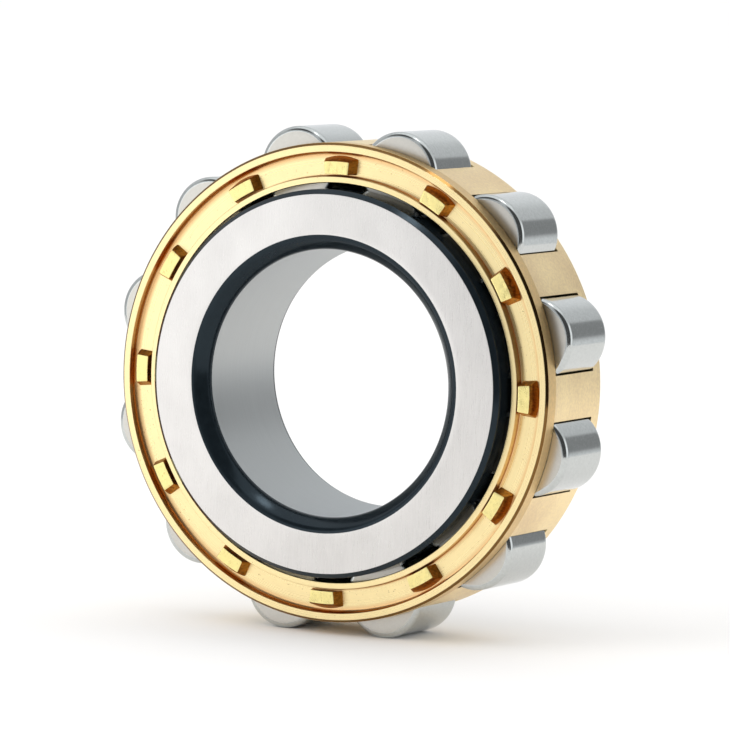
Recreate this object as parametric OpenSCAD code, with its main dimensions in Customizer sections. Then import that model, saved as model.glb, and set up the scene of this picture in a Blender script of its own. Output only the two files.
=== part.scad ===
// Cylindrical roller bearing without an outer ring: a double-ribbed inner ring,
// a row of cylindrical rollers and a two-piece machined brass cage.
// Millimetres. The origin is the centre of the bearing, its axis lies along Y,
// and the side with the riveted cage cover looks towards -Y.

/* [Inner ring] */
// Bore diameter, the seat for the shaft
bore_d = 35; // [29:0.1:42]
// Width of the inner ring
ring_w = 21; // [17.5:0.1:26]
// Diameter of the raceway that the rollers run on
raceway_d = 46.2; // [38.5:0.1:56]
// Height of the ribs above the raceway
rib_h = 2.3; // [1.9:0.05:2.8]
// Chamfer at each end of the bore
bore_chamfer = 1.5; // [0.5:0.1:1.9]
// Chamfer on the outer edge of each rib
rib_chamfer = 0.6; // [0.2:0.05:0.8]
// Width of the grinding relief beside each rib
relief_w = 0.6; // [0.3:0.05:1]
// Depth of the grinding relief below the raceway
relief_depth = 0.25; // [0.1:0.05:0.5]

/* [Rollers] */
// Number of rollers in the row
roller_count = 12; // [8:1:14]
// Roller diameter
roller_d = 11; // [9:0.1:13.2]
// Roller length
roller_l = 11; // [9:0.1:13.2]
// Radius of the rounded edge at each end of a roller
roller_corner = 0.7; // [0.2:0.05:1]

/* [Cage] */
// How far the cage reaches outside the circle of roller centres
cage_reach = 2.78; // [2:0.01:3.3]
// Thickness of the solid ring behind the pockets
rear_ring_t = 2.46; // [1.5:0.01:3]
// Thickness of the cover that closes the pockets
cover_t = 2.46; // [1.8:0.01:3]
// Depth of the groove in the cover's face
groove_depth = 1.2; // [0.6:0.05:1.7]
// Width of the lip inside the groove
lip_in = 0.85; // [0.4:0.01:1.1]
// Width of the lip outside the groove
lip_out = 1.2; // [0.6:0.01:1.4]
// Edge break on the cage's outer corners
cage_edge = 0.35; // [0.1:0.05:0.5]
// Edge break at the ends of the cage's bore
cage_bore_edge = 0.1; // [0.05:0.05:0.3]

/* [Rivet heads] */
// Shoulder on each side of a bar, beside its rivet
bar_shoulder = 0.15; // [0.05:0.01:0.5]
// Height of a rivet head above the groove's floor
head_h = 1.6; // [1:0.05:2]
// How far a rivet head overhangs its shank on each side
head_overhang = 0.8; // [0.3:0.01:1.2]
// Bevel on both ends of a rivet head
head_end_bevel = 0.54; // [0.2:0.01:0.8]
// Angle at which each end of a rivet head flares away from the axis
head_flare = 6; // [0:0.5:12]
// Bevel along the outer side of a rivet head
head_outer_bevel = 0.7; // [0.2:0.01:0.9]
// Radius of the curved foot along the outer side of a rivet head
head_foot_r = 6.5; // [5:0.1:15]

/* [Clearances] */
// Running clearance between a roller and the raceway
raceway_gap = 0.02; // [0.01:0.005:0.1]
// End clearance between a roller and each rib
rib_gap = 0.1; // [0.05:0.01:0.3]
// Clearance around a roller in its pocket
pocket_gap = 0.2; // [0.1:0.01:0.3]
// End clearance of a roller in its pocket
pocket_end_gap = 0.12; // [0.1:0.01:0.3]
// Gap between the ribs and the cage's bore
cage_gap = 0.75; // [0.4:0.05:1.5]
// Clearance of a rivet shank in its slot
slot_gap = 0.04; // [0.02:0.01:0.1]
// Gap between a rivet head and the inner lip
head_gap_in = 0.3; // [0.1:0.01:0.4]
// Gap between a rivet head and the outer lip
head_gap_out = 0.5; // [0.1:0.01:0.6]

/* [Hidden] */
function roller_name(i) = str("roller_", i < 9 ? "0" : "", i + 1);

$fn = 96;
cut = 1;                                   // overshoot of a cutting solid
corner_steps = 5;                          // flats along a roller's rounded edge
pitch_angle = 360 / roller_count;          // from one roller to the next

bore_r = bore_d / 2;
raceway_r = raceway_d / 2;
rib_r = raceway_r + rib_h;
track_half = roller_l / 2 + rib_gap;       // half the width between the ribs
pitch_r = raceway_r + raceway_gap + roller_d / 2;

pocket_r = roller_d / 2 + pocket_gap;
pocket_half = roller_l / 2 + pocket_end_gap;
cage_ir = rib_r + cage_gap;
cage_or = pitch_r + cage_reach;
cage_front = pocket_half + cover_t;
cage_rear = -pocket_half - rear_ring_t;
groove_floor = cage_front - groove_depth;
groove_ir = cage_ir + lip_in;
groove_or = cage_or - lip_out;

bar_min = 2 * pitch_r * sin(pitch_angle / 2) - 2 * pocket_r;
shank_w = bar_min - 2 * bar_shoulder;
shank_ir = groove_ir + head_gap_in;
head_or = groove_or - head_gap_out;
shank_or = head_or - head_outer_bevel;
head_w = shank_w + 2 * head_overhang;
head_top = groove_floor + head_h;
head_tilt = atan(head_end_bevel / head_h); // lean of a head's end faces

steel = "#D9D8D4";
roller_steel = "#BFC3C5";
brass = "#E8CB86";
brass_light = "#F2DC9C";

// Parts are drawn around Z with their front upwards, and this lays Z along -Y.
module on_axis() { rotate([90, 0, 0]) children(); }

// Places children at the middle of bar i, which lies between two rollers.
module at_bar(i) { rotate([0, 0, i * pitch_angle]) children(); }

// Places children on the centre line of roller i.
module at_roller(i) { rotate([0, 0, (i + 0.5) * pitch_angle]) translate([pitch_r, 0, 0]) children(); }

// A straight-sided block across a bar, with its inner and outer faces along the ring.
module ring_block(r_in, r_out, z0, z1, w) {
    intersection() {
        rotate_extrude() polygon([[r_in, z0], [r_out, z0], [r_out, z1], [r_in, z1]]);
        translate([0, -w / 2, z0]) cube([r_out + cut, w, z1 - z0]);
    }
}

// A rivet's head: upright towards the axis, with a curved and bevelled outer side
// and two bevelled ends that flare outwards.
module rivet_head() {
    difference() {
        intersection() {
            translate([head_or - head_foot_r, 0, groove_floor])
                cylinder(r1 = head_foot_r, r2 = head_foot_r - head_outer_bevel, h = head_h);
            translate([shank_ir - cut, -head_w, groove_floor])
                cube([head_or - shank_ir + 2 * cut, 2 * head_w, head_h]);
        }
        translate([0, 0, groove_floor - cut]) cylinder(r = shank_ir, h = head_h + 2 * cut);
        for (side = [0, 1]) mirror([0, side, 0])
            translate([(shank_ir + head_or) / 2, head_w / 2, groove_floor])
                rotate([0, 0, head_flare]) rotate([head_tilt, 0, 0])
                    translate([-head_w, 0, -head_h]) cube([2 * head_w, head_w, 3 * head_h]);
    }
}

module inner_ring() {
    face = ring_w / 2;
    color(steel) on_axis() rotate_extrude()
        polygon([[bore_r, bore_chamfer - face], [bore_r + bore_chamfer, -face],
                 [rib_r - rib_chamfer, -face], [rib_r, rib_chamfer - face],
                 [rib_r, -track_half],
                 [raceway_r - relief_depth, -track_half],
                 [raceway_r - relief_depth, relief_w - track_half],
                 [raceway_r, relief_w - track_half],
                 [raceway_r, track_half - relief_w],
                 [raceway_r - relief_depth, track_half - relief_w],
                 [raceway_r - relief_depth, track_half],
                 [rib_r, track_half],
                 [rib_r, face - rib_chamfer], [rib_r - rib_chamfer, face],
                 [bore_r + bore_chamfer, face], [bore_r, face - bore_chamfer]]);
}

module cage_body() {
    color(brass) on_axis() {
        difference() {
            rotate_extrude()
                polygon([[cage_ir + cage_bore_edge, cage_rear],
                         [cage_or - cage_edge, cage_rear], [cage_or, cage_rear + cage_edge],
                         [cage_or, pocket_half], [cage_ir, pocket_half],
                         [cage_ir, cage_rear + cage_bore_edge]]);
            for (i = [0 : roller_count - 1])
                at_roller(i) translate([0, 0, -pocket_half])
                    cylinder(r = pocket_r, h = 2 * pocket_half + cut);
        }
        for (i = [0 : roller_count - 1]) at_bar(i) {
            ring_block(shank_ir, shank_or, pocket_half - cut, groove_floor, shank_w);
            rivet_head();
        }
    }
}

module cage_cover() {
    color(brass_light) on_axis() difference() {
        rotate_extrude()
            polygon([[cage_ir, pocket_half], [cage_or, pocket_half],
                     [cage_or, cage_front - cage_edge], [cage_or - cage_edge, cage_front],
                     [groove_or, cage_front], [groove_or, groove_floor],
                     [groove_ir, groove_floor], [groove_ir, cage_front],
                     [cage_ir + cage_bore_edge, cage_front],
                     [cage_ir, cage_front - cage_bore_edge]]);
        for (i = [0 : roller_count - 1]) at_bar(i)
            ring_block(shank_ir - slot_gap, shank_or + slot_gap, pocket_half - cut,
                       cage_front, shank_w + 2 * slot_gap);
    }
}

module roller(i) {
    edge = [for (s = [0 : corner_steps]) let (a = 90 * s / corner_steps)
            [roller_d / 2 - roller_corner * (1 - cos(a)),
             roller_l / 2 - roller_corner * (1 - sin(a))]];
    far_edge = [for (s = [corner_steps : -1 : 0]) [edge[s][0], -edge[s][1]]];
    color(roller_steel) on_axis() at_roller(i) rotate_extrude()
        polygon(concat([[0, -roller_l / 2]], far_edge, edge, [[0, roller_l / 2]]));
}

inner_ring();
cage_body();
cage_cover();
for (i = [0 : roller_count - 1])
    roller(i);
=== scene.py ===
"""Cylindrical roller bearing without an outer ring.

A double-ribbed inner ring, twelve cylindrical rollers and a two-piece machined brass cage, whose bars end in
rivet heads that hold the cover on. The bearing's axis is Y and its riveted side looks towards -Y.
"""

import math

import bmesh
import bpy
from bpy.props import FloatProperty, FloatVectorProperty, IntProperty, PointerProperty
from mathutils import Matrix, Vector


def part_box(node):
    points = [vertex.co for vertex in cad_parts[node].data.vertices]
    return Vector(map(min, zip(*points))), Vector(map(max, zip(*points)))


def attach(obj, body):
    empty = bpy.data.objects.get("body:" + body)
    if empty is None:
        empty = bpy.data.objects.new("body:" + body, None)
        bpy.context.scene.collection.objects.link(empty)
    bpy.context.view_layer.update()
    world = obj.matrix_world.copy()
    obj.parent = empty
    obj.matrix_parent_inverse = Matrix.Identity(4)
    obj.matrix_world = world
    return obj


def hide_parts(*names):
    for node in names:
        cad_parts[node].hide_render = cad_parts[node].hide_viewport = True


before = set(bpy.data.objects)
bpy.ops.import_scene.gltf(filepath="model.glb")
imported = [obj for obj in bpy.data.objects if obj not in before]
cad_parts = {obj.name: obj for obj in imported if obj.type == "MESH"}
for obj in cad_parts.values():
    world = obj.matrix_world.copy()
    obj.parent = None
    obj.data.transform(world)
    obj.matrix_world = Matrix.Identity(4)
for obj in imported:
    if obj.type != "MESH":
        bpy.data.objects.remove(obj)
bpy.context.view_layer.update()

bl_info = {
    "name": "Cylindrical roller bearing",
    "version": (1, 0, 0),
    "blender": (4, 5, 0),
    "location": "View3D > Sidebar > Bearing",
    "description": "Builds a roller bearing with a machined brass cage around its packed CAD frame",
    "category": "Object",
}

MM = 0.001
ROLLERS = sorted(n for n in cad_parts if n.startswith("roller_"))
RING_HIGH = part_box("inner_ring")[1]
CAGE_LOW, CAGE_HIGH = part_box("cage_body")
COVER_LOW, COVER_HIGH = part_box("cage_cover")
ROLLER_LOW, ROLLER_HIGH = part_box(ROLLERS[0])
PITCH_ANGLE = 2 * math.pi / len(ROLLERS)

SKIN = 0.004 * MM  # how near a surface a face's middle still counts as part of it
BORE_EDGE = 0.1 * MM  # edge break on both ends of the cage's bore
BEYOND = 1.0  # further away than any face, in metres
RING_FACETS, ROLLER_FACETS = 288, 144


def linear(colour):
    """An sRGB hex colour as the linear values that the shaders take."""
    parts = [int(colour[i : i + 2], 16) / 255 for i in (1, 3, 5)]
    return [p / 12.92 if p <= 0.04045 else ((p + 0.055) / 1.055) ** 2.4 for p in parts]


def size(name, description, default):
    return FloatProperty(name=name, description=description, default=default, unit="LENGTH", precision=5)


def tint(name, description, default):
    return FloatVectorProperty(name=name, description=description, default=linear(default), subtype="COLOR",
                               min=0, max=1)


# ---------------------------------------------------------------------------------------------------- sizes


class InnerRingSettings(bpy.types.PropertyGroup):
    width: size("Width", "Width of the inner ring", 2 * RING_HIGH.y)
    rib_radius: size("Rib radius", "Outer radius of the two ribs", RING_HIGH.x)
    bore_radius: size("Bore radius", "Radius of the bore", 17.5 * MM)
    raceway_radius: size("Raceway radius", "Radius of the track the rollers run on", 23.1 * MM)
    track_width: size("Track width", "Width between the ribs", 11.2 * MM)
    bore_chamfer: size("Bore chamfer", "Chamfer at each end of the bore", 1.5 * MM)
    rib_chamfer: size("Rib chamfer", "Chamfer on the outer edge of each rib", 0.6 * MM)
    relief_width: size("Relief width", "Width of the grinding relief beside each rib", 0.6 * MM)
    relief_depth: size("Relief depth", "Depth of the grinding relief", 0.25 * MM)
    edge_round: size("Edge rounding", "Radius left on the ring's worked edges", 0.12 * MM)
    steel: tint("Ground steel", "Colour of the ground faces", "#D9D6D3")
    bore_steel: tint("Honed steel", "Colour of the bore and the track", "#BDBFBE")
    scale: tint("Heat scale", "Colour of the blackened surfaces that were never ground", "#12181C")


class RollerSettings(bpy.types.PropertyGroup):
    diameter: size("Diameter", "Diameter of a roller", 11 * MM)
    length: size("Length", "Length of a roller", ROLLER_HIGH.y - ROLLER_LOW.y)
    pitch_radius: size("Pitch radius", "Radius of the circle of roller centres", 28.62 * MM)
    corner: size("Corner", "Radius of the rounded edge at each end", 0.7 * MM)
    steel: tint("Roller steel", "Colour of the finished rollers", "#C8CBC9")
    end_steel: tint("End faces", "Colour of the ground end faces", "#CBC8C1")


class CageSettings(bpy.types.PropertyGroup):
    outer_radius: size("Outer radius", "Outer radius of the cage", CAGE_HIGH.x)
    inner_radius: size("Inner radius", "Inner radius of the cage", 26.15 * MM)
    rear: size("Rear face", "Distance of the cage's rear face from the middle", CAGE_HIGH.y)
    front: size("Front face", "Distance of the cover's front face from the middle", -COVER_LOW.y)
    joint: size("Joint face", "Distance of the cover's back from the middle", -COVER_HIGH.y)
    pocket_radius: size("Pocket radius", "Radius of a roller's pocket", 5.7 * MM)
    groove_floor: size("Groove floor", "Distance of the groove's floor from the middle", 6.88 * MM)
    groove_inner: size("Groove inner radius", "Inner radius of the cover's groove", 27.0 * MM)
    groove_outer: size("Groove outer radius", "Outer radius of the cover's groove", 30.2 * MM)
    groove_round: size("Groove rounding", "Radius the tool left in the groove's outer corner", 0.5 * MM)
    edge: size("Edge break", "Chamfer on the cage's outer corners", 0.35 * MM)
    edge_round: size("Edge rounding", "Radius left on the cage's turned edges", 0.08 * MM)
    brass: tint("Turned brass", "Colour of the cage's turned faces", "#F9E3AB")
    # Painted shade: this darker, redder brass is mixed into the groove's walls and corners, where they lie in shade.
    corner: tint("Painted corner shade", "Colour of the cage in the corners of its groove", "#D08C50")
    # Painted dark reflection: the edge break's colour is darkened so that it shows as a dark line.
    edge_brass: tint("Edge break", "Colour of the cover's burnished edge break", "#7C5C34")
    rim: tint("Rim", "Colour of the cover's narrow outer cylinder", "#E6C68E")
    band: tint("Outer band", "Colour of the duller outer cylinder", "#FBDFB0")


class RivetHeadSettings(bpy.types.PropertyGroup):
    inner: size("Inner side", "Distance of a head's inner side from the axis", 27.3 * MM)
    outer: size("Outer side", "Distance of a head's outer foot from the axis", 29.7 * MM)
    width: size("Width", "Width of a head's foot", 4.715 * MM)
    shank_width: size("Shank width", "Width of the shank under a head", 3.115 * MM)
    top: size("Top", "Distance of a head's flat top from the middle", -CAGE_LOW.y)
    end_bevel: size("End bevel", "Bevel on both ends of a head", 0.54 * MM)
    outer_bevel: size("Outer bevel", "Bevel along the outer side of a head", 0.7 * MM)
    foot_radius: size("Foot radius", "Radius of the curved foot along the outer side", 6.5 * MM)
    top_radius: size("Top radius", "Radius of the straighter top edge along the outer side", 20 * MM)
    flare: FloatProperty(name="Flare", description="Angle at which each end flares away from the axis",
                         default=math.radians(6), subtype="ANGLE")
    seed: IntProperty(name="Seed", description="Seed of the small differences between heads", default=7)
    brass: tint("Peened brass", "Colour of the struck tops of the heads", "#FCEBA0")
    sides: tint("Sheared brass", "Colour of the sheared sides of the heads", "#B27C35")


class StudioSettings(bpy.types.PropertyGroup):
    floor: tint("Floor", "Colour of the floor", "#F7F6F5")
    lamps: FloatProperty(name="Lamps", description="Strength of all the lamps", default=1.0, min=0)


# -------------------------------------------------------------------------------------------------- helpers


def add(tree, kind, inputs=(), **settings):
    """Adds a node with its settings and its inputs, each a value or another node's output."""
    node = tree.nodes.new(kind)
    for name, value in settings.items():
        setattr(node, name, value)
    for socket, value in dict(inputs).items():
        if isinstance(value, bpy.types.NodeSocket):
            tree.links.new(value, node.inputs[socket])
        else:
            node.inputs[socket].default_value = value
    return node


def geometry_tree(name, inputs):
    """A geometry tree with a geometry input and output and these named inputs, and the node that holds them."""
    tree = bpy.data.node_groups.new(name, "GeometryNodeTree")
    tree.interface.new_socket("Geometry", in_out="INPUT", socket_type="NodeSocketGeometry")
    for label, kind in inputs.items():
        tree.interface.new_socket(label, in_out="INPUT", socket_type="NodeSocket" + kind)
    tree.interface.new_socket("Geometry", in_out="OUTPUT", socket_type="NodeSocketGeometry")
    return tree, add(tree, "NodeGroupInput")


def finish_tree(tree, geometry, paints):
    """Ends a tree in Realize Instances and one Set Material for each pair of a material and a selection."""
    geometry = add(tree, "GeometryNodeRealizeInstances", {"Geometry": geometry}).outputs[0]
    for material, selection in paints:
        painted = add(tree, "GeometryNodeSetMaterial", {"Geometry": geometry, "Material": material})
        if selection is not None:
            tree.links.new(selection, painted.inputs["Selection"])
        geometry = painted.outputs[0]
    add(tree, "NodeGroupOutput", {0: geometry})
    return tree


def mesh_object(name, points, faces=()):
    mesh = bpy.data.meshes.new(name)
    mesh.from_pydata(points, [], faces)
    made = bpy.data.objects.new(name, mesh)
    bpy.context.scene.collection.objects.link(made)
    return made


def run_tree(source, tree, name, **values):
    """Runs a geometry tree on an object and returns its result as a plain mesh object of that name."""
    modifier = source.modifiers.new("Shape", "NODES")
    modifier.node_group = tree
    for item in tree.interface.items_tree:
        if item.in_out == "INPUT" and item.name in values:
            modifier[item.identifier] = values[item.name]
    bpy.context.view_layer.update()
    evaluated = source.evaluated_get(bpy.context.evaluated_depsgraph_get())
    mesh = bpy.data.meshes.new_from_object(evaluated)
    mesh.name = name
    source.modifiers.remove(modifier)
    bpy.data.objects.remove(source)
    if not mesh.polygons:
        raise RuntimeError(f"{name} came out empty")
    made = bpy.data.objects.new(name, mesh)
    bpy.context.scene.collection.objects.link(made)
    return made


def hand_over(piece, body, nodes):
    """Puts a finished piece on its body, in the place of its CAD nodes."""
    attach(piece, body)
    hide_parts(*nodes)
    piece.data.update()


# ------------------------------------------------------------------------------------------------- profiles


def rounded(corners, step=15, closed=True, arc=None):
    """The points of a turned profile from corners (radius, along, rounding).

    Each rounded corner becomes an arc, with one more point close to either side of it, so that the flats beside
    it shade as flats. A fixed number of steps in an arc leaves those points out, so that outlines match.
    """
    points = []
    count = len(corners)
    for i, (x, y, r) in enumerate(corners):
        here = Vector((x, y))
        if not r or (not closed and i in (0, count - 1)):
            points.append(here)
            continue
        back = Vector(corners[i - 1][:2]) - here
        ahead = Vector(corners[(i + 1) % count][:2]) - here
        to_back, to_ahead = back.normalized(), ahead.normalized()
        half = to_back.angle(to_ahead) / 2
        reach = r / math.tan(half)
        centre = here + (to_back + to_ahead).normalized() * (r / math.sin(half))
        turn = math.pi - 2 * half
        steps = arc or max(2, math.ceil(math.degrees(turn) / step))
        start = here + to_back * reach - centre
        side = 1 if start.cross(here + to_ahead * reach - centre) > 0 else -1
        guard = 0.6 * r
        if not arc and back.length > 2.4 * (reach + guard):
            points.append(here + to_back * (reach + guard))
        for k in range(steps + 1):
            spin = Matrix.Rotation(side * turn * k / steps, 2)
            points.append(centre + spin @ start)
        if not arc and ahead.length > 2.4 * (reach + guard):
            points.append(here + to_ahead * (reach + guard))
    if closed:
        points.append(points[0].copy())
    return points


def turning_tree(name, side, ends, length):
    """A tree that turns a profile about Y, moves it out to its centre and round to its angle, and paints it."""
    tree, given = geometry_tree(name, {"Facets": "Int", "Centre distance": "Float", "Angle": "Float"})
    turned = turn(tree, given.outputs["Geometry"], given.outputs["Facets"])
    moved = add(tree, "GeometryNodeTransform", {
        "Geometry": turned,
        "Translation": add(tree, "ShaderNodeCombineXYZ", {"X": given.outputs["Centre distance"]}).outputs[0]})
    placed = about_y(tree, moved.outputs[0], given.outputs["Angle"])
    along = measure(tree)[1]
    depth = add(tree, "ShaderNodeMath", {0: along}, operation="ABSOLUTE").outputs[0]
    flat = between(tree, depth, length / 2 - SKIN, length)
    return finish_tree(tree, placed, [(side, None), (ends, flat)])


def turn(tree, profile, facets):
    """Adds the nodes that turn a profile, whose points are (radius, along, 0), about Y."""
    points = add(tree, "GeometryNodeAttributeDomainSize", {0: profile}, component="MESH").outputs["Point Count"]
    rows = add(tree, "FunctionNodeIntegerMath", {0: facets, 1: 1}, operation="ADD").outputs[0]
    grid = add(tree, "GeometryNodeMeshGrid", {"Vertices X": points, "Vertices Y": rows})
    index = add(tree, "GeometryNodeInputIndex").outputs[0]
    column = add(tree, "FunctionNodeIntegerMath", {0: index, 1: rows}, operation="DIVIDE_FLOOR").outputs[0]
    row = add(tree, "FunctionNodeIntegerMath", {0: index, 1: rows}, operation="MODULO").outputs[0]
    place = add(tree, "GeometryNodeSampleIndex", {
        "Geometry": profile, "Value": add(tree, "GeometryNodeInputPosition").outputs[0], "Index": column,
    }, data_type="FLOAT_VECTOR").outputs[0]
    share = add(tree, "ShaderNodeMath", {0: row, 1: facets}, operation="DIVIDE").outputs[0]
    angle = add(tree, "ShaderNodeMath", {0: share, 1: 2 * math.pi}, operation="MULTIPLY").outputs[0]
    swept = add(tree, "ShaderNodeVectorRotate", {"Vector": place, "Angle": angle}, rotation_type="Y_AXIS")
    shaped = add(tree, "GeometryNodeSetPosition", {"Geometry": grid.outputs[0], "Position": swept.outputs[0]})
    sealed = add(tree, "GeometryNodeMergeByDistance", {"Geometry": shaped.outputs[0], "Distance": 1e-6})
    return add(tree, "GeometryNodeSetShadeSmooth", {"Geometry": sealed.outputs[0]}).outputs[0]


def about_y(tree, geometry, angle):
    """Adds the nodes that turn a geometry from +X towards +Z about the bearing's axis."""
    back = add(tree, "ShaderNodeMath", {0: angle, 1: -1.0}, operation="MULTIPLY").outputs[0]
    rotation = add(tree, "FunctionNodeAxisAngleToRotation", {"Axis": (0, 1, 0), "Angle": back}).outputs[0]
    return add(tree, "GeometryNodeTransform", {"Geometry": geometry, "Rotation": rotation}).outputs[0]


def around_cage(tree, geometry, wobble=None):
    """Adds the nodes that repeat a shape drawn at +X at each bar of the cage."""
    count = len(ROLLERS)
    points = add(tree, "GeometryNodePoints", {"Count": count}).outputs[0]
    index = add(tree, "GeometryNodeInputIndex").outputs[0]
    angle = add(tree, "ShaderNodeMath", {0: index, 1: -PITCH_ANGLE}, operation="MULTIPLY").outputs[0]
    if wobble is not None:
        angle = add(tree, "ShaderNodeMath", {0: angle, 1: wobble}, operation="ADD").outputs[0]
    rotation = add(tree, "FunctionNodeAxisAngleToRotation", {"Axis": (0, 1, 0), "Angle": angle}).outputs[0]
    spread = add(tree, "GeometryNodeInstanceOnPoints", {"Points": points, "Instance": geometry, "Rotation": rotation})
    return add(tree, "GeometryNodeRealizeInstances", {"Geometry": spread.outputs[0]}).outputs[0]


def crisp_edges(tree, geometry, angle=30):
    """Adds the nodes that keep edges sharper than this angle, in degrees, crisp."""
    bend = add(tree, "GeometryNodeInputMeshEdgeAngle").outputs["Unsigned Angle"]
    sharp = add(tree, "FunctionNodeCompare", {0: bend, 1: math.radians(angle)}, operation="GREATER_THAN").outputs[0]
    return add(tree, "GeometryNodeSetShadeSmooth",
               {"Geometry": geometry, "Selection": sharp, "Shade Smooth": False}, domain="EDGE").outputs[0]


def measure(tree):
    """Adds the nodes for a place's distance from the bearing's axis, and its signed place along it."""
    place = add(tree, "ShaderNodeSeparateXYZ", {0: add(tree, "GeometryNodeInputPosition").outputs[0]}).outputs
    radius = add(tree, "ShaderNodeMath", {
        0: add(tree, "ShaderNodeMath", {0: place["X"], 1: place["X"]}, operation="MULTIPLY").outputs[0],
        1: add(tree, "ShaderNodeMath", {0: place["Z"], 1: place["Z"]}, operation="MULTIPLY").outputs[0],
    }, operation="ADD").outputs[0]
    radius = add(tree, "ShaderNodeMath", {0: radius}, operation="SQRT").outputs[0]
    return radius, place["Y"]


def between(tree, value, low, high):
    """Adds the nodes that are true where a value lies between two limits."""
    above = add(tree, "FunctionNodeCompare", {0: value, 1: low}, operation="GREATER_THAN").outputs[0]
    below = add(tree, "FunctionNodeCompare", {0: value, 1: high}, operation="LESS_THAN").outputs[0]
    return add(tree, "FunctionNodeBooleanMath", {0: above, 1: below}, operation="AND").outputs[0]


# ------------------------------------------------------------------------------------------------ materials


def per_mm(spacing):
    """The noise scale whose detail has this spacing in millimetres."""
    return 1 / (spacing * MM)


def new_metal(name, roughness, metallic=1.0):
    """A material with its tree, its shader and the object coordinates its patterns use."""
    material = bpy.data.materials.new(name)
    material.use_nodes = True
    tree = material.node_tree
    shader = tree.nodes["Principled BSDF"]
    shader.inputs["Metallic"].default_value = metallic
    shader.inputs["Roughness"].default_value = roughness
    place = add(tree, "ShaderNodeTexCoord").outputs["Object"]
    return material, tree, shader, place


def streaks(tree, place, spacing, detail=3.0):
    """A noise whose detail has its own spacing in millimetres along X, Y and Z, from 0 to 1."""
    stretched = add(tree, "ShaderNodeMapping", {"Vector": place, "Scale": [per_mm(s) for s in spacing]})
    return add(tree, "ShaderNodeTexNoise",
               {"Vector": stretched.outputs[0], "Scale": 1.0, "Detail": detail, "Roughness": 0.6}).outputs["Fac"]


def ramp(tree, value, low, high, at_low, at_high):
    """A value's span mapped onto another, and held at its ends."""
    return add(tree, "ShaderNodeMapRange",
               {0: value, 1: low, 2: high, 3: at_low, 4: at_high}).outputs[0]


def shaded(tree, share, colour, dark, light=1.0):
    """The colour scaled between two strengths by a pattern."""
    low = [c * dark for c in colour] + [1]
    high = [min(1, c * light) for c in colour] + [1]
    return add(tree, "ShaderNodeMix", {0: share, 6: low, 7: high}, data_type="RGBA").outputs[2]


def bumped(tree, shader, height, depth):
    """Gives the shader a bump of this depth in millimetres from a pattern."""
    bump = add(tree, "ShaderNodeBump", {"Height": height, "Strength": 1.0, "Distance": depth * MM})
    tree.links.new(bump.outputs[0], shader.inputs["Normal"])


def axis_distance(tree, place):
    """Adds the nodes for a place's distance from the bearing's axis, in metres."""
    parts = add(tree, "ShaderNodeSeparateXYZ", {0: place}).outputs
    flat = add(tree, "ShaderNodeCombineXYZ", {"X": parts["X"], "Z": parts["Z"]}).outputs[0]
    return add(tree, "ShaderNodeVectorMath", {0: flat}, operation="LENGTH").outputs["Value"]


def ground_face_steel(settings):
    # Through-hardened bearing steel, surface-ground: straight, shallow grinding lines that blur reflections
    # sideways. Real lines are some 0.02 mm apart; they are drawn about 0.13 mm apart so that they show.
    material, tree, shader, place = new_metal("Surface-ground bearing steel", 0.3)
    lines = streaks(tree, place, (0.13, 4.0, 3.0))
    cloud = streaks(tree, place, (6.0, 6.0, 9.0), 2.0)
    mixed = add(tree, "ShaderNodeMath", {0: lines, 1: cloud}, operation="ADD").outputs[0]
    tree.links.new(shaded(tree, ramp(tree, mixed, 0.75, 1.25, 0, 1), settings.steel, 0.92, 1.03),
                   shader.inputs["Base Color"])
    tree.links.new(ramp(tree, lines, 0.3, 0.7, 0.26, 0.32), shader.inputs["Roughness"])
    bumped(tree, shader, lines, 0.0012)
    return material


def honed_steel(settings):
    # Through-hardened bearing steel, ground and honed round: fine lines that run round the bore and the track.
    material, tree, shader, place = new_metal("Honed bearing steel", 0.3)
    shader.inputs["Specular Tint"].default_value = linear("#E6E8EA") + [1]
    lines = streaks(tree, place, (14.0, 0.16, 14.0))
    tree.links.new(shaded(tree, ramp(tree, lines, 0.3, 0.7, 0, 1), settings.bore_steel, 0.95, 1.03),
                   shader.inputs["Base Color"])
    tree.links.new(ramp(tree, lines, 0.3, 0.7, 0.38, 0.44), shader.inputs["Roughness"])
    bumped(tree, shader, lines, 0.0006)
    return material


def heat_scale(settings):
    # Magnetite scale that hardening leaves where the ring was never ground: blue-black, dense and glossy.
    material, tree, shader, place = new_metal("Heat-blackened bearing steel", 0.2, 0.0)
    shader.inputs["IOR"].default_value = 1.5
    shader.inputs["Specular IOR Level"].default_value = 0.4
    shader.inputs["Specular Tint"].default_value = linear("#BFD8E8") + [1]
    cloud = streaks(tree, place, (1.2, 1.2, 1.2))
    turned = streaks(tree, place, (8.0, 0.12, 8.0))
    tree.links.new(shaded(tree, cloud, settings.scale, 0.6, 1.5), shader.inputs["Base Color"])
    tree.links.new(ramp(tree, cloud, 0.3, 0.7, 0.12, 0.2), shader.inputs["Roughness"])
    bumped(tree, shader, turned, 0.002)
    return material


def roller_steel(settings):
    # Bearing steel, centreless-ground and superfinished: a bright grey with faint lines round each roller.
    material, tree, shader, place = new_metal("Superfinished roller steel", 0.2)
    lines = streaks(tree, place, (9.0, 0.14, 9.0))
    mist = streaks(tree, place, (0.35, 0.35, 0.35))
    tree.links.new(shaded(tree, ramp(tree, mist, 0.35, 0.65, 0, 1), settings.steel, 0.9, 1.0),
                   shader.inputs["Base Color"])
    tree.links.new(ramp(tree, lines, 0.3, 0.7, 0.1, 0.16), shader.inputs["Roughness"])
    bumped(tree, shader, lines, 0.0006)
    return material


def roller_end_steel(settings):
    # The same steel, plunge-ground across the flat ends: paler, with a soft cloudy grain.
    material, tree, shader, place = new_metal("Ground roller end", 0.3)
    grain = streaks(tree, place, (0.3, 0.3, 0.3))
    tree.links.new(shaded(tree, ramp(tree, grain, 0.3, 0.7, 0, 1), settings.end_steel, 0.94, 1.0),
                   shader.inputs["Base Color"])
    return material


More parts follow.
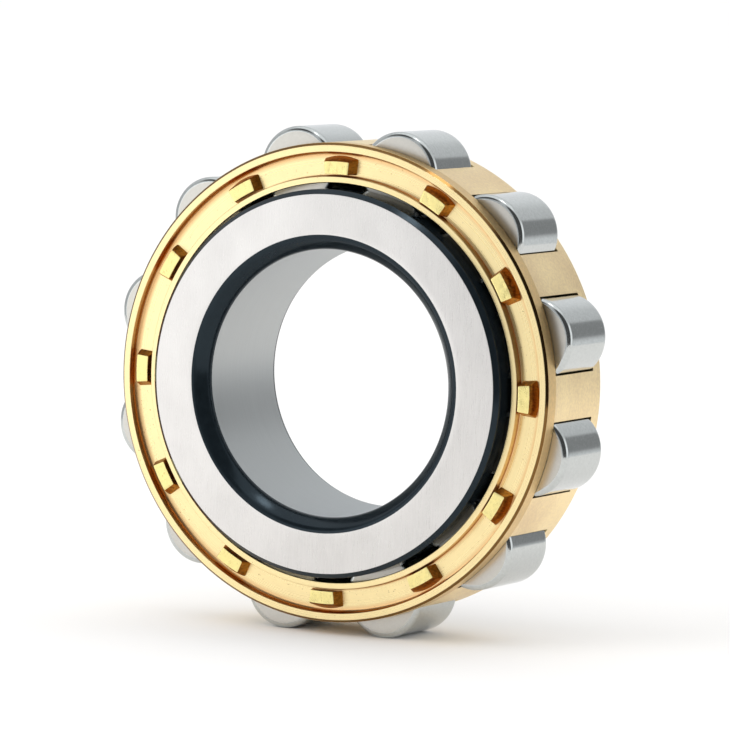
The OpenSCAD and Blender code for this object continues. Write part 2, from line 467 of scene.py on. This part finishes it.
def turned_brass(settings):
    # Cast manganese brass, turned on a lathe: pale gold, with shallow rings about the axis and a few fine pores.
    # Real feed lines are about 0.08 mm apart, and are drawn about 0.2 mm apart so that they show.
    material, tree, shader, place = new_metal("Turned brass", 0.24)
    radius = axis_distance(tree, place)
    rings = add(tree, "ShaderNodeTexNoise", {"W": radius, "Scale": per_mm(0.18), "Detail": 2.0},
                noise_dimensions="1D").outputs["Fac"]
    cloud = streaks(tree, place, (2.5, 2.5, 2.5))
    pores = streaks(tree, place, (0.28, 0.28, 0.28), 1.0)
    mixed = add(tree, "ShaderNodeMath", {0: rings, 1: cloud}, operation="ADD").outputs[0]
    colour = shaded(tree, ramp(tree, mixed, 0.7, 1.3, 0, 1), settings.brass, 0.96, 1.03)
    pitted = add(tree, "ShaderNodeMix", {0: ramp(tree, pores, 0.72, 0.78, 0, 0.6), 6: colour,
                                         7: linear("#7A4E18") + [1]}, data_type="RGBA").outputs[2]
    # Painted shade: near the groove's walls and in its rounded outer corner, the brass fades into the darker, redder
    # corner tint, on the cover's front only.
    outer_shade = ramp(tree, radius, settings.groove_outer - 1.0 * MM, settings.groove_outer, 0, 0.95)
    inner_shade = ramp(tree, radius, settings.groove_inner, settings.groove_inner + 0.3 * MM, 0.9, 0)
    shade = add(tree, "ShaderNodeMath", {0: outer_shade, 1: inner_shade}, operation="MAXIMUM").outputs[0]
    along = add(tree, "ShaderNodeSeparateXYZ", {0: place}).outputs["Y"]
    for value, edge, low, high in ((radius, settings.groove_inner, 0, 1), (radius, settings.groove_outer, 1, 0),
                                   (along, -settings.joint, 1, 0)):
        inside = ramp(tree, value, edge - 0.01 * MM, edge + 0.01 * MM, low, high)
        shade = add(tree, "ShaderNodeMath", {0: shade, 1: inside}, operation="MULTIPLY").outputs[0]
    corner_shaded = add(tree, "ShaderNodeMix", {0: shade, 6: pitted, 7: list(settings.corner) + [1]}, data_type="RGBA")
    tree.links.new(corner_shaded.outputs[2], shader.inputs["Base Color"])
    tree.links.new(ramp(tree, rings, 0.3, 0.7, 0.26, 0.32), shader.inputs["Roughness"])
    bumped(tree, shader, rings, 0.001)
    return material


def band_brass(name, colour):
    # The same brass on the outer cylinder and the bars, left duller and sandier by barrel finishing.
    # The real speckle is finer than this, and is drawn about 0.4 mm across so that it shows.
    material, tree, shader, place = new_metal(name, 0.42)
    sand = streaks(tree, place, (0.38, 0.38, 0.38), 4.0)
    cloud = streaks(tree, place, (9.0, 9.0, 9.0), 1.0)
    mixed = add(tree, "ShaderNodeMath", {0: sand, 1: cloud}, operation="ADD").outputs[0]
    tree.links.new(shaded(tree, ramp(tree, mixed, 0.75, 1.25, 0, 1), colour, 0.84, 1.1),
                   shader.inputs["Base Color"])
    tree.links.new(ramp(tree, sand, 0.3, 0.7, 0.38, 0.48), shader.inputs["Roughness"])
    bumped(tree, shader, sand, 0.006)
    return material


def darkened_edge_brass(settings):
    # The same brass where a form tool broke the edge in one pass: smooth and sharply reflecting. Its colour is a
    # painted dark reflection, darkened so that the edge break shows as a dark line and its highlights stay dim.
    material, tree, shader, place = new_metal("Brass edge painted dark", 0.1)
    rub = streaks(tree, place, (0.5, 0.5, 0.5))
    tree.links.new(shaded(tree, rub, settings.edge_brass, 0.8, 1.1), shader.inputs["Base Color"])
    return material


def peened_brass(settings):
    # The same brass, struck down by a punch: bright yellow and unevenly dented, with darker scuffs.
    material, tree, shader, place = new_metal("Peened brass", 0.3)
    dents = streaks(tree, place, (0.8, 0.8, 0.8), 2.0)
    scuffs = streaks(tree, place, (0.16, 0.3, 0.7), 2.0)
    colour = shaded(tree, ramp(tree, dents, 0.35, 0.65, 0, 1), settings.brass, 0.86, 1.0)
    scuffed = add(tree, "ShaderNodeMix", {0: ramp(tree, scuffs, 0.62, 0.78, 0, 0.6), 6: colour,
                                          7: linear("#6B4A12") + [1]}, data_type="RGBA").outputs[2]
    tree.links.new(scuffed, shader.inputs["Base Color"])
    tree.links.new(ramp(tree, dents, 0.3, 0.7, 0.24, 0.38), shader.inputs["Roughness"])
    bumped(tree, shader, dents, 0.03)
    return material


def sheared_brass(settings):
    # The same brass where the punch sheared it down the sides of a head: brown, torn and rough.
    material, tree, shader, place = new_metal("Sheared brass", 0.4)
    torn = streaks(tree, place, (0.3, 0.6, 0.3), 3.0)
    tree.links.new(shaded(tree, ramp(tree, torn, 0.3, 0.7, 0, 1), settings.sides, 0.6, 1.5),
                   shader.inputs["Base Color"])
    tree.links.new(ramp(tree, torn, 0.3, 0.7, 0.3, 0.5), shader.inputs["Roughness"])
    bumped(tree, shader, torn, 0.05)
    return material


def floor_paint(settings):
    # Matt white painted board: no gloss, with a barely visible roller texture.
    material, tree, shader, place = new_metal("Matt white board", 0.9, 0.0)
    cloud = streaks(tree, place, (40.0, 40.0, 40.0))
    tree.links.new(shaded(tree, cloud, settings.floor, 0.985, 1.0), shader.inputs["Base Color"])
    shader.inputs["Specular IOR Level"].default_value = 0.1
    return material


# ------------------------------------------------------------------------------------------------ operators


class BEARING_OT_inner_ring(bpy.types.Operator):
    """Turn the double-ribbed inner ring, with its chamfers, track and grinding reliefs"""

    bl_idname = "bearing.inner_ring"
    bl_label = "Inner ring"

    def execute(self, context):
        s = context.scene.bearing_ring
        face, track = s.width / 2, s.track_width / 2
        low = s.raceway_radius - s.relief_depth
        fine, broad = s.edge_round, 0.8 * s.bore_chamfer
        half = [
            (s.bore_radius, face - s.bore_chamfer, broad),
            (s.bore_radius + s.bore_chamfer, face, broad),
            (s.rib_radius - s.rib_chamfer, face, fine),
            (s.rib_radius, face - s.rib_chamfer, fine),
            (s.rib_radius, track, 0.6 * fine),
            (low, track, 0.6 * fine),
            (low, track - s.relief_width, 0.6 * fine),
            (s.raceway_radius, track - s.relief_width, 0.6 * fine),
        ]
        corners = [(x, y, r) for x, y, r in half] + [(x, -y, r) for x, y, r in reversed(half)]
        profile = mesh_object("ring_profile", [(p.x, p.y, 0) for p in rounded(corners)])

        tree, given = geometry_tree("Turned inner ring", {"Facets": "Int"})
        turned = turn(tree, given.outputs["Geometry"], given.outputs["Facets"])
        radius, along = measure(tree)
        depth = add(tree, "ShaderNodeMath", {0: along}, operation="ABSOLUTE").outputs[0]
        cylinder = between(tree, depth, -BEYOND, face - SKIN)
        below_face = between(tree, depth, track + SKIN, face - SKIN)
        bore_corner = between(tree, radius, s.bore_radius + SKIN, s.bore_radius + 2 * s.bore_chamfer)
        rib_outside = between(tree, radius, s.rib_radius - 2 * s.rib_chamfer, s.rib_radius + MM)
        relief = between(tree, radius, s.bore_radius + 2 * s.bore_chamfer, s.raceway_radius - SKIN)
        relief = add(tree, "FunctionNodeBooleanMath",
                     {0: relief, 1: between(tree, depth, 0.0, track - SKIN)}, operation="AND").outputs[0]
        corner = add(tree, "FunctionNodeBooleanMath", {0: bore_corner, 1: rib_outside}, operation="OR").outputs[0]
        corner = add(tree, "FunctionNodeBooleanMath", {0: corner, 1: below_face}, operation="AND").outputs[0]
        black = add(tree, "FunctionNodeBooleanMath", {0: corner, 1: relief}, operation="OR").outputs[0]
        finish_tree(tree, turned, [(ground_face_steel(s), None), (honed_steel(s), cylinder), (heat_scale(s), black)])
        ring = run_tree(profile, tree, "ground_inner_ring", Facets=RING_FACETS)
        hand_over(ring, "inner_ring", ["inner_ring"])
        return {"FINISHED"}


class BEARING_OT_rollers(bpy.types.Operator):
    """Turn the cylindrical rollers, one for each body of the frame"""

    bl_idname = "bearing.rollers"
    bl_label = "Rollers"

    def execute(self, context):
        s = context.scene.bearing_rollers
        r, end = s.diameter / 2, s.length / 2
        corners = [(0, end, 0), (r, end, s.corner), (r, -end, s.corner), (0, -end, 0)]
        points = rounded(corners, step=9, closed=False)
        tree = turning_tree("Turned roller", roller_steel(s), roller_end_steel(s), s.length)
        for i, node in enumerate(ROLLERS):
            profile = mesh_object("roller_profile", [(p.x, p.y, 0) for p in points])
            values = {"Facets": ROLLER_FACETS, "Centre distance": s.pitch_radius, "Angle": (i + 0.5) * PITCH_ANGLE}
            roller = run_tree(profile, tree, f"ground_{node}", **values)
            hand_over(roller, node, [node])
        return {"FINISHED"}


class BEARING_OT_cage_cover(bpy.types.Operator):
    """Turn the cage's cover, with the groove and the slots that its rivets pass through"""

    bl_idname = "bearing.cage_cover"
    bl_label = "Cage cover"

    def execute(self, context):
        s, heads = context.scene.bearing_cage, context.scene.bearing_heads
        fine, slack, tall = s.edge_round, 0.04 * MM, 8 * MM
        corners = [
            (s.inner_radius, -s.joint, 0),
            (s.inner_radius, BORE_EDGE - s.front, 0.4 * fine),
            (s.inner_radius + BORE_EDGE, -s.front, 0.4 * fine),
            (s.groove_inner, -s.front, fine),
            (s.groove_inner, -s.groove_floor, 0.4 * s.groove_round),
            (s.groove_outer, -s.groove_floor, s.groove_round),
            (s.groove_outer, -s.front, fine),
            (s.outer_radius - s.edge, -s.front, 0.4 * fine),
            (s.outer_radius, s.edge - s.front, 0.4 * fine),
            (s.outer_radius, -s.joint, 0),
        ]
        profile = mesh_object("cover_profile", [(p.x, p.y, 0) for p in rounded(corners)])
        tree, given = geometry_tree("Turned cage cover", {
            "Facets": "Int", "Slot length": "Float", "Slot width": "Float", "Slot distance": "Float"})
        turned = turn(tree, given.outputs["Geometry"], given.outputs["Facets"])
        block = add(tree, "GeometryNodeMeshCube", {"Size": add(tree, "ShaderNodeCombineXYZ", {
            "X": given.outputs["Slot length"], "Y": tall, "Z": given.outputs["Slot width"]}).outputs[0]}).outputs[0]
        block = add(tree, "GeometryNodeTransform", {"Geometry": block, "Translation": add(
            tree, "ShaderNodeCombineXYZ", {"X": given.outputs["Slot distance"], "Y": -s.groove_floor}).outputs[0]})
        slots = around_cage(tree, block.outputs[0])
        pierced = add(tree, "GeometryNodeMeshBoolean", {"Mesh 1": turned, "Mesh 2": slots},
                      operation="DIFFERENCE", solver="EXACT").outputs[0]
        radius = measure(tree)[0]
        band = between(tree, radius, s.outer_radius - 0.02 * MM, s.outer_radius + MM)
        broken = between(tree, radius, s.outer_radius - 0.9 * s.edge, s.outer_radius - 0.02 * MM)
        finish_tree(tree, crisp_edges(tree, pierced), [
            (turned_brass(s), None), (darkened_edge_brass(s), broken),
            (band_brass("Barrel-finished brass rim", s.rim), band)])
        inner, outer = heads.inner - slack, heads.outer - heads.outer_bevel + slack
        values = {"Facets": RING_FACETS, "Slot length": outer - inner, "Slot width": heads.shank_width + 2 * slack,
                  "Slot distance": (inner + outer) / 2}
        cover = run_tree(profile, tree, "turned_cage_cover", **values)
        hand_over(cover, "cage", ["cage_cover"])
        return {"FINISHED"}


def head_outline(s, share):
    """The outline (radial, across) of a rivet head at a share of its height, as four sides with equal counts."""
    radius = s.foot_radius + (s.top_radius - s.foot_radius) * share
    centre = s.outer - s.outer_bevel * share - radius
    half, slope, middle = s.width / 2 - s.end_bevel * share, math.tan(s.flare), (s.inner + s.outer) / 2
    reach = radius
    for _ in range(20):
        reach = math.sqrt(radius**2 - (half + (centre + reach - middle) * slope) ** 2)
    far, near = centre + reach, s.inner
    for _ in range(20):
        near = math.sqrt(s.inner**2 - (half + (near - middle) * slope) ** 2)
    w_near, w_far = half + (near - middle) * slope, half + (far - middle) * slope
    steps = 10
    inner = [(math.sqrt(s.inner**2 - z * z), z) for z in (w_near * (1 - 2 * k / steps) for k in range(1, steps))]
    outer = [(centre + math.sqrt(radius**2 - z * z), z)
             for z in (w_far * (2 * k / steps - 1) for k in range(1, steps))]
    sharp = 0.14 * MM
    corners = [(near, -w_near, sharp), (far, -w_far, sharp)] + [(x, z, 0) for x, z in outer]
    corners += [(far, w_far, sharp), (near, w_near, sharp)] + [(x, z, 0) for x, z in inner]
    return rounded(corners, arc=3)[:-1]


class BEARING_OT_cage_body(bpy.types.Operator):
    """Mill the cage's pockets and bars, and set the rivet heads on the bars' ends"""

    bl_idname = "bearing.cage_body"
    bl_label = "Cage body"

    def execute(self, context):
        s, heads = context.scene.bearing_cage, context.scene.bearing_heads
        rollers = context.scene.bearing_rollers
        corners = [
            (s.inner_radius, -s.joint, 0),
            (s.outer_radius, -s.joint, 0),
            (s.outer_radius, s.rear - s.edge, 0.4 * s.edge_round),
            (s.outer_radius - s.edge, s.rear, 0.4 * s.edge_round),
            (s.inner_radius + BORE_EDGE, s.rear, 0.4 * s.edge_round),
            (s.inner_radius, s.rear - BORE_EDGE, 0.4 * s.edge_round),
        ]
        profile = mesh_object("body_profile", [(p.x, p.y, 0) for p in rounded(corners)])
        head = self.rivet_head(heads, s)
        tree, given = geometry_tree("Milled cage body", {
            "Facets": "Int", "Rivet head": "Object", "Pocket radius": "Float", "Pocket distance": "Float",
            "Dent depth": "Float", "Seed": "Int"})
        blank = turn(tree, given.outputs["Geometry"], given.outputs["Facets"])
        drill = add(tree, "GeometryNodeMeshCylinder",
                    {"Vertices": 128, "Radius": given.outputs["Pocket radius"], "Depth": 2 * s.joint + MM})
        laid = add(tree, "GeometryNodeTransform", {
            "Geometry": drill.outputs[0], "Rotation": (math.pi / 2, 0, 0),
            "Translation": add(tree, "ShaderNodeCombineXYZ", {
                "X": given.outputs["Pocket distance"], "Y": -0.5 * MM}).outputs[0]}).outputs[0]
        drills = around_cage(tree, about_y(tree, laid, PITCH_ANGLE / 2))
        milled = add(tree, "GeometryNodeMeshBoolean", {"Mesh 1": blank, "Mesh 2": drills},
                     operation="DIFFERENCE", solver="EXACT").outputs[0]
        shape = add(tree, "GeometryNodeObjectInfo", {"Object": given.outputs["Rivet head"]}).outputs["Geometry"]
        wobble = add(tree, "FunctionNodeRandomValue", {2: -0.004, 3: 0.004, "Seed": given.outputs["Seed"]},
                     data_type="FLOAT").outputs[1]
        struck = self.dented(tree, around_cage(tree, shape, wobble), given, s)
        whole = add(tree, "GeometryNodeMeshBoolean", {"Mesh 2": milled},
                    operation="UNION", solver="EXACT")
        tree.links.new(struck, whole.inputs["Mesh 2"])
        radius, along = measure(tree)
        band = between(tree, radius, s.outer_radius - 0.02 * MM, s.outer_radius + MM)
        on_side = between(tree, along, -2 * heads.top, -s.groove_floor - 0.01 * MM)
        on_top = between(tree, along, -2 * heads.top, 0.07 * MM - heads.top)
        finish_tree(tree, crisp_edges(tree, whole.outputs[0]), [
            (turned_brass(s), None), (band_brass("Barrel-finished brass", s.band), band),
            (sheared_brass(heads), on_side), (peened_brass(heads), on_top)])
        values = {"Facets": RING_FACETS, "Rivet head": head, "Pocket radius": s.pocket_radius,
                  "Pocket distance": rollers.pitch_radius, "Dent depth": 0.05 * MM, "Seed": heads.seed}
        body = run_tree(profile, tree, "milled_cage_body", **values)
        bpy.data.objects.remove(head)
        hand_over(body, "cage", ["cage_body"])
        return {"FINISHED"}

    def rivet_head(self, s, cage):
        """One rivet head with its shank, drawn at +X, from closed outlines stacked along the axis."""
        floor, height = cage.groove_floor, s.top - cage.groove_floor
        middle = Vector(((s.inner + s.outer) / 2, 0))
        foot = head_outline(s, 0)
        shank_x = (s.inner + s.outer - s.outer_bevel) / 2
        shank = [Vector((max(s.inner, min(s.outer - s.outer_bevel, p.x)),
                         max(-s.shank_width / 2, min(s.shank_width / 2, p.y)))) for p in foot]
        soft = 0.08 * MM
        loops = [(cage.joint - MM, shank), (floor, shank), (floor, foot)]
        for share in (0.08, 0.3, 0.55, 0.8):
            loops.append((floor + height * share, head_outline(s, share)))
        crown = head_outline(s, 1)
        for turn_deg in (0, 22, 45, 68, 90):
            a = math.radians(turn_deg)
            inset = soft * (1 - math.cos(a)) / (crown[0] - middle).length
            loops.append((s.top - soft * (1 - math.sin(a)), [p.lerp(middle, inset) for p in crown]))
        for share in (0.2, 0.35, 0.5, 0.65, 0.8, 0.92):
            loops.append((s.top, [p.lerp(middle, share) for p in crown]))
        count = len(foot)
        points = [(p.x, -level, p.y) for level, loop in loops for p in loop]
        faces = [(k * count + i, k * count + (i + 1) % count, (k + 1) * count + (i + 1) % count, (k + 1) * count + i)
                 for k in range(len(loops) - 1) for i in range(count)]
        points += [(shank_x, MM - cage.joint, 0), (middle.x, -s.top, 0)]
        last = (len(loops) - 1) * count
        faces += [((i + 1) % count, i, len(points) - 2) for i in range(count)]
        faces += [(last + i, last + (i + 1) % count, len(points) - 1) for i in range(count)]
        head = mesh_object("rivet_head", points, faces)
        worked = bmesh.new()
        worked.from_mesh(head.data)
        bmesh.ops.remove_doubles(worked, verts=worked.verts, dist=1e-7)
        bmesh.ops.recalc_face_normals(worked, faces=worked.faces)
        worked.to_mesh(head.data)
        worked.free()
        head.data.polygons.foreach_set("use_smooth", [True] * len(head.data.polygons))
        return head

    def dented(self, tree, geometry, given, s):
        """Adds the nodes that push dents into the heads above the groove's floor."""
        place = add(tree, "GeometryNodeInputPosition").outputs[0]
        dents = add(tree, "ShaderNodeTexNoise", {"Vector": place, "W": given.outputs["Seed"],
                                                 "Scale": per_mm(0.9), "Detail": 2.0}, noise_dimensions="4D")
        along = measure(tree)[1]
        above = between(tree, along, -BEYOND, -s.groove_floor - 0.2 * MM)
        pushed = add(tree, "ShaderNodeMath", {0: dents.outputs["Fac"], 1: given.outputs["Dent depth"]},
                     operation="MULTIPLY").outputs[0]
        offset = add(tree, "ShaderNodeVectorMath", {0: add(tree, "GeometryNodeInputNormal").outputs[0]},
                     operation="SCALE")
        inward = add(tree, "ShaderNodeMath", {0: pushed, 1: -1.0}, operation="MULTIPLY").outputs[0]
        tree.links.new(inward, offset.inputs["Scale"])
        return add(tree, "GeometryNodeSetPosition",
                   {"Geometry": geometry, "Selection": above, "Offset": offset.outputs[0]}).outputs[0]


class BEARING_OT_studio(bpy.types.Operator):
    """Set up the pale floor, the soft lamps and the camera"""

    bl_idname = "bearing.studio"
    bl_label = "Studio"

    def execute(self, context):
        s = context.scene.bearing_studio
        self.floor(s)
        self.sky(context)
        for name, place, side, power, shines in self.LAMPS:
            self.lamp(name, place, side, power * s.lamps, shines)
        self.camera(context)
        context.scene.view_settings.view_transform = "Standard"
        context.scene.view_settings.look = "None"
        return {"FINISHED"}

    # What shines, and what stays dark, round the bearing: azimuth from the front towards +X, elevation, half
    # width and soft edge, in degrees, then brightness. Later ones cover earlier ones.
    PANELS = (
        ("floor far away", 0, -90, 84, 6, 0.92),
        ("paper behind", 203, 14, 16, 16, 0.98),
        ("light above", 0, 85, 28, 14, 1.2),
        ("strip overhead", 16, 72, 4, 2, 7.0),
        ("soft light on the left", -42, 4, 26, 16, 0.7),
        ("soft light on the right", 104, 10, 16, 10, 1.4),
        ("dark corner above the front", -32, 42, 12, 10, 0.1),
        ("dark side of the room", 40, 12, 38, 8, 0.09),
        ("far end of the room", 152, 10, 9, 3, 0.34),
    )

    # Each lamp: name, place in metres, side in metres, power in watts, whether metal reflects it.
    LAMPS = (
        ("lamp_front_left", (-0.6, -0.9, 0.55), 0.9, 3.5, False),
        ("lamp_close_left", (-0.145, -0.21, 0.015), 0.1, 0.03, True),
    )

    # Strengths of the white paper that the camera sees, and of the glow that it gives to matt surfaces.
    PAPER, GLOW = 1.0, 1.13

    # Radii of the round table and of the board beyond it, in metres.
    TABLE, BOARD = 0.28, 6.0

    def floor(self, s):
        """A round table just under the lowest roller, and the same board going on beyond it, unseen by the metal."""
        level = min(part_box(n)[0].z for n in ROLLERS) - 0.02 * MM
        steps = 96
        rims = [[(r * math.cos(a), r * math.sin(a), level) for a in (2 * math.pi * k / steps for k in range(steps))]
                for r in (self.TABLE, self.BOARD)]
        paint = floor_paint(s)
        table = mesh_object("table", rims[0], [tuple(range(steps))])
        beyond = mesh_object("board_beyond", rims[0] + rims[1], [
            (k, steps + k, steps + (k + 1) % steps, (k + 1) % steps) for k in range(steps)])
        beyond.visible_glossy = False
        for board in (table, beyond):
            board.data.materials.append(paint)

    def sky(self, context):
        """A pale room: white paper behind the bearing, and soft panels for the metal to reflect."""
        world = bpy.data.worlds.new("Studio")
        world.use_nodes = True
        world.cycles.sampling_method = "NONE"
        tree = world.node_tree
        tree.nodes.clear()
        look = add(tree, "ShaderNodeTexCoord").outputs["Generated"]
        height = add(tree, "ShaderNodeSeparateXYZ", {0: look}).outputs["Z"]
        level = ramp(tree, height, 0, 0.6, 0.62, 0.85)
        for _, azimuth, elevation, core, edge, brightness in self.PANELS:
            a, e = math.radians(azimuth), math.radians(elevation)
            towards = (math.sin(a) * math.cos(e), -math.cos(a) * math.cos(e), math.sin(e))
            near = add(tree, "ShaderNodeVectorMath", {0: look, 1: towards}, operation="DOT_PRODUCT").outputs["Value"]
            inside = add(tree, "ShaderNodeMapRange", {
                0: near, 1: math.cos(math.radians(core + edge)), 2: math.cos(math.radians(core)), 3: 0, 4: 1,
            }, interpolation_type="SMOOTHSTEP").outputs[0]
            level = add(tree, "ShaderNodeMix", {0: inside, 2: level, 3: brightness}).outputs[0]
        room = add(tree, "ShaderNodeBackground", {"Color": linear("#F7FAFD") + [1], "Strength": level})
        glow = add(tree, "ShaderNodeBackground", {"Color": (1, 1, 1, 1), "Strength": self.GLOW})
        paper = add(tree, "ShaderNodeBackground", {"Color": (1, 1, 1, 1), "Strength": self.PAPER})
        path = add(tree, "ShaderNodeLightPath").outputs
        lit = add(tree, "ShaderNodeMixShader", {0: path["Is Diffuse Ray"], 1: room.outputs[0], 2: glow.outputs[0]})
        seen = add(tree, "ShaderNodeMixShader", {0: path["Is Camera Ray"], 1: lit.outputs[0], 2: paper.outputs[0]})
        add(tree, "ShaderNodeOutputWorld", {0: seen.outputs[0]})
        context.scene.world = world

    def lamp(self, name, place, side, power, shines):
        light = bpy.data.lights.new(name, "AREA")
        light.shape, light.size = "SQUARE", side
        light.energy = power
        made = bpy.data.objects.new(name, light)
        made.location = place
        made.rotation_euler = Vector(place).to_track_quat("Z", "Y").to_euler()
        made.visible_camera, made.visible_glossy = False, shines
        bpy.context.scene.collection.objects.link(made)

    def camera(self, context):
        """A long lens at about three quarters of a metre, a little above the bearing and to its right."""
        yaw, pitch, roll = (math.radians(a) for a in (27.34, 5.0, 1.98))
        look = Vector((-math.sin(yaw) * math.cos(pitch), math.cos(yaw) * math.cos(pitch), -math.sin(pitch)))
        level = Vector((math.cos(yaw), math.sin(yaw), 0))
        upright = level.cross(look)
        right = level * math.cos(roll) + upright * math.sin(roll)
        data = bpy.data.cameras.new("camera")
        data.lens, data.sensor_width = 284.8, 36
        data.clip_start, data.clip_end = 0.01, 100
        made = bpy.data.objects.new("camera", data)
        turned = Matrix((right, right.cross(look), -look)).transposed().to_4x4()
        turned.translation = Vector((348.6, -672.8, 68.2)) * MM
        made.matrix_world = turned
        context.scene.collection.objects.link(made)
        context.scene.camera = made


class VIEW3D_PT_bearing(bpy.types.Panel):
    """Lists the bearing's pieces and their sizes"""

    bl_label = "Roller bearing"
    bl_space_type = "VIEW_3D"
    bl_region_type = "UI"
    bl_category = "Bearing"

    def draw(self, context):
        for operator, attribute in PIECES:
            box = self.layout.box()
            box.operator(operator.bl_idname)
            settings = getattr(context.scene, attribute)
            for name in settings.__annotations__:
                box.prop(settings, name)


SETTINGS = {
    "bearing_ring": InnerRingSettings,
    "bearing_rollers": RollerSettings,
    "bearing_cage": CageSettings,
    "bearing_heads": RivetHeadSettings,
    "bearing_studio": StudioSettings,
}
PIECES = (
    (BEARING_OT_inner_ring, "bearing_ring"),
    (BEARING_OT_rollers, "bearing_rollers"),
    (BEARING_OT_cage_cover, "bearing_cage"),
    (BEARING_OT_cage_body, "bearing_heads"),
    (BEARING_OT_studio, "bearing_studio"),
)


def register():
    for attribute, group in SETTINGS.items():
        bpy.utils.register_class(group)
        setattr(bpy.types.Scene, attribute, PointerProperty(type=group))
    for operator, _ in PIECES:
        bpy.utils.register_class(operator)
    bpy.utils.register_class(VIEW3D_PT_bearing)


def unregister():
    bpy.utils.unregister_class(VIEW3D_PT_bearing)
    for operator, _ in reversed(PIECES):
        bpy.utils.unregister_class(operator)
    for attribute, group in reversed(SETTINGS.items()):
        delattr(bpy.types.Scene, attribute)
        bpy.utils.unregister_class(group)


def main():
    register()
    bpy.ops.bearing.inner_ring()
    bpy.ops.bearing.rollers()
    bpy.ops.bearing.cage_cover()
    bpy.ops.bearing.cage_body()
    bpy.ops.bearing.studio()


if __name__ == "__main__":
    main()
